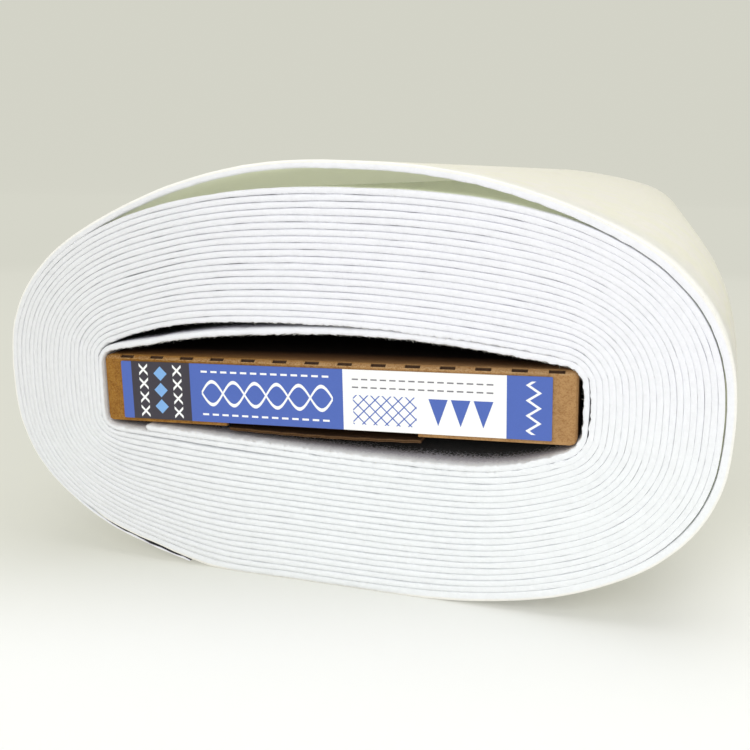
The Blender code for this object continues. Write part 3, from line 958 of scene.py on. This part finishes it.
def make_kraft():
    """Fibrous brown board, paler along the fold, with painted shade in its cuts, to the left and further
    in on its panels.
    """
    finish, tree, shader = new_finish("kraft_fibre", 0.82, Specular_IOR_Level=0.25)
    place = board_axes(tree)
    parts = add_node(tree, "SeparateXYZ", {"Vector": place})
    depth = maths(tree, "ABSOLUTE", parts.outputs["Y"])
    depth = maths(tree, "SUBTRACT", CLOTH_WIDTH / 2 * MM, depth)
    fibre = stretched_noise(tree, place, (1.5, 1.5, 1.0), 3600.0)
    cloud = stretched_noise(tree, place, (1.5, 1.5, 1.0), 700.0)
    grain = noise(tree, place, 2600.0, 2.0)
    tone = maths(tree, "ADD", maths(tree, "MULTIPLY", ramp(tree, fibre, 0.38, 0.62), 0.70),
                 maths(tree, "MULTIPLY", ramp(tree, cloud, 0.34, 0.66), 0.30))
    # Painted shade: darker and more yellow towards the left.
    side = maths(tree, "MULTIPLY_ADD", ramp(tree, parts.outputs["X"], -0.068, 0.050), 0.27, 0.15)
    tone = maths(tree, "MULTIPLY_ADD", tone, 0.66, side, clamp=True)
    rightward = ramp(tree, parts.outputs["X"], -0.068, 0.045)
    pale = mix_colours(tree, rightward, KRAFT_LEFT_SHADE, KRAFT)
    colour = mix_colours(tree, tone, KRAFT_DARK, pale)
    # Paler along the ridge of the fold.
    ridge = maths(tree, "ABSOLUTE", maths(tree, "SUBTRACT", parts.outputs["Z"], FOLD_HEIGHT))
    paler_fold = maths(tree, "SUBTRACT", 1.0, ramp(tree, ridge, 0.0001, 0.0007))
    paler_fold = maths(tree, "MULTIPLY", paler_fold, ramp(tree, fibre, 0.40, 0.62))
    paler_fold = maths(tree, "MULTIPLY", paler_fold, 0.65)
    colour = mix_colours(tree, paler_fold, colour, KRAFT_PALE)
    fleck = ramp(tree, grain, 0.62, 0.74)
    colour = mix_colours(tree, maths(tree, "MULTIPLY", fleck, 0.35), colour, KRAFT_PALE)
    # The cut attribute paints shade into the cuts, the roof of the notch and the tuck tab.
    cut = add_node(tree, "Attribute", attribute_name="cut").outputs["Fac"]
    colour = mix_colours(tree, ramp(tree, cut, 0.08, 0.80), colour, CUT_SHADOW)
    # Painted shade: the panels darken with depth behind the end of the roll, to black further in.
    uneven = maths(tree, "MULTIPLY_ADD", fibre, 0.008, maths(tree, "SUBTRACT", depth, 0.004))
    deep_shade = maths(tree, "POWER", ramp(tree, uneven, 0.0003, 0.010), 0.55)
    colour = mix_colours(tree, deep_shade, colour, KRAFT_DEEP_SHADE)
    colour = mix_colours(tree, ramp(tree, uneven, 0.010, 0.0155), colour, CUT_SHADOW)
    tree.links.new(colour, shader.inputs["Base Color"])
    relief(tree, shader, maths(tree, "ADD", fibre, grain), 0.00008, 0.6)
    return finish


kraft = make_kraft()
board = new_piece("folded_board", rings, board_faces, kraft, smooth=False)
write_numbers(board, "cut", cut_shade_share)
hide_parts("board_sleeve", "front_end_flap", "back_end_flap")
print("folded board:", triangles(board), "triangles")

# %% [markdown]
# ## The tuck tab
# Below the notch the board's tuck tab shows: two thin layers, bowed a little down by the
# cloth's pull. Each is a thin strip that is carried from left to right along a sine, and
# whose front edge is rounded. Two boxes could be bent by a modifier instead, but the sine
# keeps them apart by an even gap.

# %% The two layers of the tuck tab
TAB = {"left": -29.2, "right": 26.4, "front": 1.5, "back": 31.5, "bow": 0.5, "steps": 28}
TAB_LAYERS = (
    {"top": 0.0, "thickness": 0.52, "front": 0.0},
    {"top": 0.60, "thickness": 0.40, "front": 0.35},
)
# How much painted shade each point of a tab layer's section takes.
TAB_SHADE = (0.80, 0.62, 0.56, 0.50, 0.9, 0.9, 0.9, 0.9)
TAB_POINTS = len(TAB_SHADE)


def tab_skin(layer):
    """A bowed strip: loops of eight section points, carried from the left to the right.

    The strip hangs by 0.4 to 1 mm and by a sine's arch more in its middle.
    """
    across = np.linspace(0, 1, TAB["steps"])
    x = TAB["left"] + (TAB["right"] - TAB["left"]) * across
    drop = 0.4 + 0.6 * across + TAB["bow"] * np.sin(np.pi * across)
    top = -BOARD["height"] / 2 - drop - layer["top"]
    front, soft, thickness = TAB["front"] + layer["front"], 0.12, layer["thickness"]
    depth = np.array([front + soft, front, front, front + soft, TAB["back"] - soft, TAB["back"],
                      TAB["back"], TAB["back"] - soft])
    down = np.array([0, soft, thickness - soft, thickness, thickness, thickness - soft, soft, 0])
    section = np.zeros((len(x), TAB_POINTS, 2))
    section[..., 0] = x[:, None]
    section[..., 1] = top[:, None] - down[None]
    return to_room(section, depth[None] + 0.25 * np.sin(7 * x)[:, None] * (depth < 10)[None])


def skin_faces(columns, rows, start=0):
    """Walls and both end caps of a closed strip, numbered from a start."""
    last = start + (columns - 1) * rows
    caps = [list(range(start, start + rows))[::-1], list(range(last, last + rows))]
    return wall_faces(columns, rows, start) + caps


skins = [tab_skin(layer) for layer in TAB_LAYERS]
tab_faces = skin_faces(TAB["steps"], TAB_POINTS)
tab_faces += skin_faces(TAB["steps"], TAB_POINTS, TAB["steps"] * TAB_POINTS)
tab_points = np.concatenate(skins)
tab = new_piece("tuck_tab_layers", tab_points, tab_faces, kraft, smooth=False)
write_numbers(tab, "cut", np.tile(TAB_SHADE, len(TAB_LAYERS) * TAB["steps"]))
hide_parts("front_tuck_tab")
print("tuck tab:", triangles(tab), "triangles")

# %% [markdown]
# ## The label
# A printed card label is glued to the flap. Its print is a plain sewing pattern in dark
# grey, blue and white: cross stitches, diamonds, waves, running stitches, a quilted patch,
# pennants and a zigzag. A picture could hold it, but a pattern drawn by arithmetic on the
# label's own millimetres stays sharp from nearby. A motif is a mask of ones and zeros, and
# a mask chooses between two colours.

# %% Masks for the print
LABEL_BLUE = (0.078, 0.140, 0.485, 1)
LABEL_CHARCOAL = (0.046, 0.040, 0.055, 1)
LABEL_WHITE = (0.94, 0.945, 0.95, 1)
LABEL_PALE = (0.22, 0.43, 0.78, 1)
LABEL_GREY = (0.20, 0.19, 0.22, 1)


def inside(tree, value, low, high):
    """1 where a number lies between two others, else 0."""
    above = maths(tree, "GREATER_THAN", value, low)
    return maths(tree, "MULTIPLY", above, maths(tree, "LESS_THAN", value, high))


def block(tree, x, z, left, right, bottom, top):
    """1 inside a rectangle, else 0."""
    return maths(tree, "MULTIPLY", inside(tree, x, left, right), inside(tree, z, bottom, top))


def near(tree, value, centre, half_width):
    """1 within a half width of a centre, else 0."""
    away = maths(tree, "ABSOLUTE", maths(tree, "SUBTRACT", value, centre))
    return maths(tree, "LESS_THAN", away, half_width)


def repeated(tree, value, start, period):
    """The distance from the middle of the period that a number falls in, with its sign."""
    shifted = maths(tree, "SUBTRACT", value, start)
    return maths(tree, "SUBTRACT", maths(tree, "FLOORED_MODULO", shifted, period), period / 2)


def both(tree, *masks):
    """The product of masks: 1 where all of them are 1."""
    result = masks[0]
    for mask in masks[1:]:
        result = maths(tree, "MULTIPLY", result, mask)
    return result


def wave(tree, x, start, period, height):
    """A sine along x that starts at zero."""
    turn = maths(tree, "MULTIPLY", maths(tree, "SUBTRACT", x, start), 2 * math.pi / period)
    return maths(tree, "MULTIPLY", maths(tree, "SINE", turn), height)


print("blue of the print:", [round(part, 2) for part in LABEL_BLUE[:3]])


# %% The motifs of the print
def charcoal_motifs(tree, x, z):
    """Two columns of cross stitches in white, and a column of pale diamonds between them."""
    step = repeated(tree, z, -8.35, 4.05)
    rows = inside(tree, z, -8.0, 7.5)
    stitches = None
    for centre in (-54.6, -44.0):
        dx = maths(tree, "ABSOLUTE", maths(tree, "SUBTRACT", x, centre))
        arms = near(tree, maths(tree, "SUBTRACT", dx, maths(tree, "ABSOLUTE", step)), 0.0, 0.42)
        column = both(tree, arms, maths(tree, "LESS_THAN", dx, 1.35), rows)
        stitches = column if stitches is None else maths(tree, "MAXIMUM", stitches, column)
    dx = maths(tree, "ABSOLUTE", maths(tree, "SUBTRACT", x, -49.3))
    span = maths(tree, "ADD", dx, maths(tree, "ABSOLUTE", repeated(tree, z, -7.2, 4.8)))
    diamonds = both(tree, maths(tree, "LESS_THAN", span, 2.1), inside(tree, z, -7.2, 7.2))
    return stitches, diamonds


def blue_motifs(tree, x, z):
    """Two white waves that cross, between two rows of running stitches."""
    panel = inside(tree, x, -36.5, 2.5)
    curve = wave(tree, x, -36.5, 13.0, 3.3)
    upper = near(tree, maths(tree, "SUBTRACT", z, curve), -0.2, 0.50)
    lower = near(tree, maths(tree, "ADD", z, curve), -0.2, 0.50)
    dash = maths(tree, "LESS_THAN", repeated(tree, x, -36.5, 3.0), 0.4)
    rows = maths(tree, "MAXIMUM", near(tree, z, 5.9, 0.28), near(tree, z, -6.4, 0.28))
    waves = maths(tree, "MAXIMUM", upper, lower)
    return both(tree, panel, maths(tree, "MAXIMUM", waves, both(tree, dash, rows)))


def white_motifs(tree, x, z):
    """Grey running stitches in rows, a quilted patch in blue lines, and three blue pennants."""
    dash = maths(tree, "LESS_THAN", repeated(tree, x, 8.0, 2.6), 0.45)
    rows = maths(tree, "MAXIMUM", near(tree, z, 5.5, 0.20), near(tree, z, 3.3, 0.20))
    stitches = both(tree, dash, rows, inside(tree, x, 8.0, 46.4))
    sum_way = repeated(tree, maths(tree, "ADD", x, z), 0.0, 3.2)
    other_way = repeated(tree, maths(tree, "SUBTRACT", x, z), 0.0, 3.2)
    lattice = maths(tree, "MAXIMUM", near(tree, sum_way, 0.0, 0.22),
                    near(tree, other_way, 0.0, 0.22))
    patch = both(tree, lattice, block(tree, x, z, 8.2, 25.8, -6.9, 1.2))
    across = maths(tree, "ABSOLUTE", repeated(tree, x, 28.6, 6.0))
    drop = maths(tree, "SUBTRACT", 1.0, z)
    flag = maths(tree, "LESS_THAN", maths(tree, "MULTIPLY_ADD", drop, 0.36, across), 2.6)
    pennants = both(tree, flag, block(tree, x, z, 28.6, 46.6, -6.2, 1.0))
    return stitches, maths(tree, "MAXIMUM", patch, pennants)


def end_motif(tree, x, z):
    """A white zigzag up the last blue panel."""
    zigzag = maths(tree, "ABSOLUTE", repeated(tree, z, -8.2, 4.0))
    line = maths(tree, "SUBTRACT", x, maths(tree, "MULTIPLY", zigzag, 1.5))
    return both(tree, near(tree, line, 55.0, 0.55), inside(tree, z, -7.2, 6.8))


motifs = (charcoal_motifs, blue_motifs, white_motifs, end_motif)
print("motifs:", [motif.__name__ for motif in motifs])


# %% The finish of the label
def make_print():
    """Panels from left to right, each with its motifs, on satin card."""
    finish, tree, shader = new_finish("printed_card", 0.46, Specular_IOR_Level=0.35)
    place = add_node(tree, "VectorMath", {0: board_axes(tree), 3: 1 / MM}, operation="SCALE")
    place = place.outputs[0]
    parts = add_node(tree, "SeparateXYZ", {"Vector": place})
    x, z = parts.outputs["X"], parts.outputs["Z"]
    colour = mix_colours(tree, inside(tree, x, -58.4, -40.0), LABEL_BLUE, LABEL_CHARCOAL)
    colour = mix_colours(tree, inside(tree, x, 5.4, 49.6), colour, LABEL_WHITE)
    stitches, diamonds = charcoal_motifs(tree, x, z)
    white = maths(tree, "MAXIMUM", stitches, blue_motifs(tree, x, z))
    colour = mix_colours(tree, white, colour, LABEL_WHITE)
    colour = mix_colours(tree, diamonds, colour, LABEL_PALE)
    grey_stitches, blue_lines = white_motifs(tree, x, z)
    colour = mix_colours(tree, grey_stitches, colour, LABEL_GREY)
    colour = mix_colours(tree, blue_lines, colour, LABEL_BLUE)
    colour = mix_colours(tree, end_motif(tree, x, z), colour, LABEL_WHITE)
    mottle = maths(tree, "MULTIPLY_ADD", noise(tree, place, 2.2, 3.0), 0.10, 0.95)
    tree.links.new(dimmed(tree, colour, mottle), shader.inputs["Base Color"])
    relief(tree, shader, noise(tree, place, 3.0, 2.0), 0.00003, 0.4)
    return finish


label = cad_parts["end_label"]
card = label if isinstance(label, bpy.types.Object) else bpy.data.objects["end_label"]
card.data.materials.clear()
card.data.materials.append(make_print())
print("print on", card.name, "with", len(card.data.polygons), "faces")

# %% [markdown]
# ## Loose fibres along the cut
# A cut through felted cloth leaves short loose fibres. They bridge the thin gaps between
# the turns and fray the edges that stand against the dark. A hair system could grow them,
# but a mesh is kept as it is when the roll is exported. Each fibre is a slim three-sided
# spike with one bend. Its root is chosen along the strip, on one of the two corners of the
# cut edge, and it points away from the strip, along it, and a little out of the cut.

# %% The shape of a fibre
FIBRE_WIDTH = 0.055
FIBRE_FACES = [(0, 2, 1), (0, 1, 4, 3), (1, 2, 5, 4), (2, 0, 3, 5), (3, 4, 6), (4, 5, 6), (5, 3, 6)]


def unit(vectors):
    """Vectors divided by their lengths."""
    return vectors / np.maximum(np.linalg.norm(vectors, axis=-1, keepdims=True), 1e-9)


def fibre_points(root, heading, bend, length, width):
    """Seven points a fibre: a triangle at the root, a smaller one half way, and the tip.

    The half-way ring lies at root + 0.5 length * heading, and the tip at
    root + length * (heading + bend).
    """
    first = unit(np.cross(heading, (0.12, 1.0, 0.23)))
    second = np.cross(heading, first)
    turn = np.arange(3) * 2 * np.pi / 3
    circle = first[:, None] * np.cos(turn)[None, :, None]
    circle = circle + second[:, None] * np.sin(turn)[None, :, None]
    length, width = length[:, None], width[:, None, None]
    half_way = root + 0.5 * length * heading
    tip = root + length * (heading + bend)
    lower = root[:, None] + circle * width / 2
    upper = half_way[:, None] + circle * width * 0.36
    return np.concatenate([lower, upper, tip[:, None]], axis=1)


def fibre_faces(count):
    """The seven faces of each fibre, with the numbers of its own seven points."""
    return [tuple(7 * index + corner for corner in face)
            for index in range(count) for face in FIBRE_FACES]


print(len(FIBRE_FACES), "faces a fibre,", FIBRE_WIDTH, "mm wide")


# %% Grow the fibres along the two cuts
def grow_fibres(turns, side, longest, seed, back=False):
    """Fibres at places on the strip, from its inner (0) or outer (1) corner.

    Directions are random mixtures of away from the strip, along it and out of the cut.
    """
    random = np.random.default_rng(seed)
    order = np.argsort(turns)
    turns, side = turns[order], side[order]
    inner, outer, _ = strip_faces(DENSE_TURNS)
    normal = outward(inner)
    pick = [np.interp(turns, DENSE_TURNS, values) for values in (*inner.T, *outer.T, *normal.T)]
    inner, outer, normal = (np.stack(pick[start:start + 2], -1) for start in (0, 2, 4))
    count = len(turns)
    length_along = np.interp(turns, DENSE_TURNS, DENSE_LENGTH)
    cut = cut_lines(length_along)[1 if back else 0]
    away = np.where(side[:, None] > 0.5, normal, -normal)
    along = np.stack([-normal[:, 1], normal[:, 0]], -1)
    corner = np.where(side[:, None] > 0.5, outer, inner)
    corner = corner - away * random.uniform(0.10, 0.45, (count, 1))
    sink = random.uniform(0.02, 0.30, count)
    depth = cut + sink if not back else CLOTH_WIDTH + cut - sink
    root = np.stack([corner[:, 0], depth, corner[:, 1]], -1)
    out = -1.0 if not back else 1.0
    lift = np.abs(random.normal(0.0, 0.28, (count, 1))) * np.array([[0, out, 0]])
    spread = along * random.normal(0.0, 0.75, (count, 1))
    spread = spread + away * random.uniform(0.25, 1.0, (count, 1))
    heading = unit(np.stack([spread[:, 0], np.zeros(count), spread[:, 1]], -1) + lift)
    bend = random.normal(0.0, 0.28, (count, 3)) * np.array([1.0, 0.4, 1.0])
    length = random.uniform(0.35, 1.0, count) * longest[order]
    width = FIBRE_WIDTH * random.uniform(0.7, 1.3, count)
    points = fibre_points(root, heading, bend, length, width)
    return in_room(np.stack([points[..., 0], points[..., 2]], -1), points[..., 1])


# %% Where the fibres grow
# Each row: first and last turn, the strip's side (0 inner, 1 outer), how many, longest in mm.
FRAYED = {
    "first turn, towards the board": (0.0, 1.0, 0, 3200, 0.75),
    "first turn, outside": (0.0, 1.0, 1, 900, 0.6),
    "second turn over the droop": (1.30, 1.75, 0, 1100, 0.75),
    "crescent, lower side": (20.30, 20.75, 1, 500, 0.5),
    "crescent, upper side": (21.30, 21.75, 0, 500, 0.5),
    "all turns, inside": (0.0, 21.9, 0, 4200, 0.6),
    "all turns, outside": (0.0, 21.9, 1, 4200, 0.6),
}


def frayed_places(seed):
    """Random places for every row of FRAYED, even along the strip's length."""
    random = np.random.default_rng(seed)
    turns, sides, lengths = [], [], []
    for first, last, side, count, longest in FRAYED.values():
        ends = np.interp((first, last), DENSE_TURNS, DENSE_LENGTH)
        turns.append(np.interp(random.uniform(*ends, count), DENSE_LENGTH, DENSE_TURNS))
        sides.append(np.full(count, float(side)))
        lengths.append(np.full(count, longest))
    return np.concatenate(turns), np.concatenate(sides), np.concatenate(lengths)


print(sum(row[3] for row in FRAYED.values()), "fibres on each cut")

for name, back, seed in (("front_cut_fibres", False, 41), ("back_cut_fibres", True, 42)):
    turns, side, longest = frayed_places(seed)
    points = grow_fibres(turns, side, longest, seed + 10, back)
    piece = new_piece(name, points, fibre_faces(len(turns)), interfacing)
    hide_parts("cloth_roll")
    print(name + ":", len(turns), "fibres,", triangles(piece), "triangles")

# %% [markdown]
# ## Camera and light
# The camera looks at the front end from a quarter of a metre away, a little from the right
# and from just under the height of the roll's top. Its place was worked out from how the
# front and back outlines shrink with distance. The light is soft: a large panel in front,
# a second one above, and an even pale surround. The floor is nearly white in front of the
# roll and turns to a pale grey-green behind it, as a paper sweep does.

# %% The camera
from mathutils import Matrix, Vector

PICTURE = 750
FOCAL_PIXELS = 937.92
camera_data = bpy.data.cameras.new("camera")
camera_data.sensor_width = 36.0
camera_data.lens = FOCAL_PIXELS / PICTURE * camera_data.sensor_width
camera_data.clip_start = 0.01
camera = bpy.data.objects.new("camera", camera_data)
bpy.context.scene.collection.objects.link(camera)
camera_right = Vector((0.960618, 0.277128, 0.020302)).normalized()
camera_back = Vector((0.266419, -0.939326, 0.216075)).normalized()
camera_up = camera_back.cross(camera_right).normalized()
turned = Matrix((camera_right, camera_up, camera_back)).transposed().to_4x4()
camera.matrix_world = Matrix.Translation((0.07514, -0.48789, 0.11555)) @ turned
bpy.context.scene.camera = camera
print("lens of the camera:", round(camera_data.lens, 1), "mm")


# %% The sweep: floor and wall in one surface
PAPER_WHITE = (0.76, 0.765, 0.745, 1)
PAPER_GLOW = (0.10, 0.10, 0.098, 1)
FLOOR_GREY = (0.68, 0.68, 0.61, 1)
WALL_COLOUR = (0.651, 0.651, 0.571, 1)
BLACK = (0.0, 0.0, 0.0, 1)
WALL_FADE = (-0.30, -0.165)
WALL_SLANT = -0.425
GLOW_BEHIND = 0.68
FAR_FADE = (0.38, 0.80)


def make_sweep_finish():
    """Matt paper: white in front, pale grey-green around, and a wall far away that glows evenly.

    The border behind the white floor runs askew, along y + WALL_SLANT * x.
    """
    finish, tree, shader = new_finish("sweep_paper", 0.95, Specular_IOR_Level=0.1,
                                      Emission_Strength=1.0)
    place = add_node(tree, "TexCoord").outputs["Object"]
    parts = add_node(tree, "SeparateXYZ", {"Vector": place})
    askew = maths(tree, "MULTIPLY_ADD", parts.outputs["X"], WALL_SLANT, parts.outputs["Y"])
    behind = ramp(tree, askew, *WALL_FADE)
    away = add_node(tree, "VectorMath", {0: place}, operation="LENGTH").outputs["Value"]
    outside = ramp(tree, away, *FAR_FADE)
    grey = maths(tree, "MAXIMUM", behind, outside)
    floor_tone = mix_colours(tree, grey, PAPER_WHITE, FLOOR_GREY)
    # Part of the floor glows as well, faintly in front and more behind the roll, a painted light that
    # softens the roll's shadows.
    far = maths(tree, "MAXIMUM", outside, maths(tree, "MULTIPLY", behind, GLOW_BEHIND))
    lit = mix_colours(tree, far, floor_tone, BLACK)
    glow = mix_colours(tree, far, PAPER_GLOW, WALL_COLOUR)
    tree.links.new(lit, shader.inputs["Base Color"])
    tree.links.new(glow, shader.inputs["Emission Color"])
    return finish


def sweep_points(around=72):
    """A round floor that turns up into a wall: a profile of radius and height, spun about z."""
    turn = np.linspace(0, np.pi / 2, 14)
    profile = np.concatenate([
        [(0.0, 0.0), (0.8, 0.0), (2.0, 0.0)],
        np.stack([3.0 + 0.8 * np.sin(turn), 0.8 * (1 - np.cos(turn))], -1),
        [(3.8, 4.0)],
    ])
    angle = np.arange(around) * 2 * np.pi / around
    ring = np.stack([np.cos(angle), np.sin(angle)], -1)
    grid = np.zeros((len(profile) - 1, around, 3))
    grid[..., :2] = profile[1:, None, :1] * ring[None]
    grid[..., 2] = profile[1:, None, 1]
    return grid


grid = sweep_points()
rings_up, around = grid.shape[:2]
row, column = np.meshgrid(np.arange(rings_up - 1), np.arange(around), indexing="ij")
first, beside = row * around + column, row * around + (column + 1) % around
quads = np.stack([first, first + around, beside + around, beside], -1).reshape(-1, 4)
sweep_faces = quads.tolist() + [list(range(around))]
mesh = bpy.data.meshes.new("sweep")
mesh.from_pydata(grid.reshape(-1, 3).tolist(), [], sweep_faces)
mesh.polygons.foreach_set("use_smooth", np.ones(len(mesh.polygons), bool))
mesh.materials.append(make_sweep_finish())
sweep = bpy.data.objects.new("sweep", mesh)
bpy.context.scene.collection.objects.link(sweep)
print("sweep:", len(sweep_faces), "faces")


# %% The lights
def panel_light(name, place, target, size, power, colour):
    """A square soft light that faces a point."""
    data = bpy.data.lights.new(name, "AREA")
    data.shape = "SQUARE"
    data.size = size
    data.energy = power
    data.color = colour
    light = bpy.data.objects.new(name, data)
    light.location = place
    light.rotation_euler = (Vector(target) - Vector(place)).to_track_quat("-Z", "Y").to_euler()
    bpy.context.scene.collection.objects.link(light)
    return light


PANELS = {
    "front_panel": {"place": (0.25, -1.35, 0.75), "target": (0.0, -0.15, 0.05),
                    "size": 0.9, "power": 7.4, "colour": (0.95, 0.965, 1.0)},
    "top_panel": {"place": (0.05, -0.05, 1.5), "target": (0.0, 0.0, 0.0),
                  "size": 1.2, "power": 10.0, "colour": (1.0, 0.985, 0.95)},
}
SURROUND = {"colour": (0.97, 0.975, 1.05, 1), "strength": 0.62}
for name, panel in PANELS.items():
    panel_light(name, **panel)
world = bpy.data.worlds.new("even_light")
world.use_nodes = True
background = world.node_tree.nodes["Background"]
background.inputs["Color"].default_value = SURROUND["colour"]
background.inputs["Strength"].default_value = SURROUND["strength"]
bpy.context.scene.world = world
bpy.context.scene.view_settings.view_transform = "Standard"
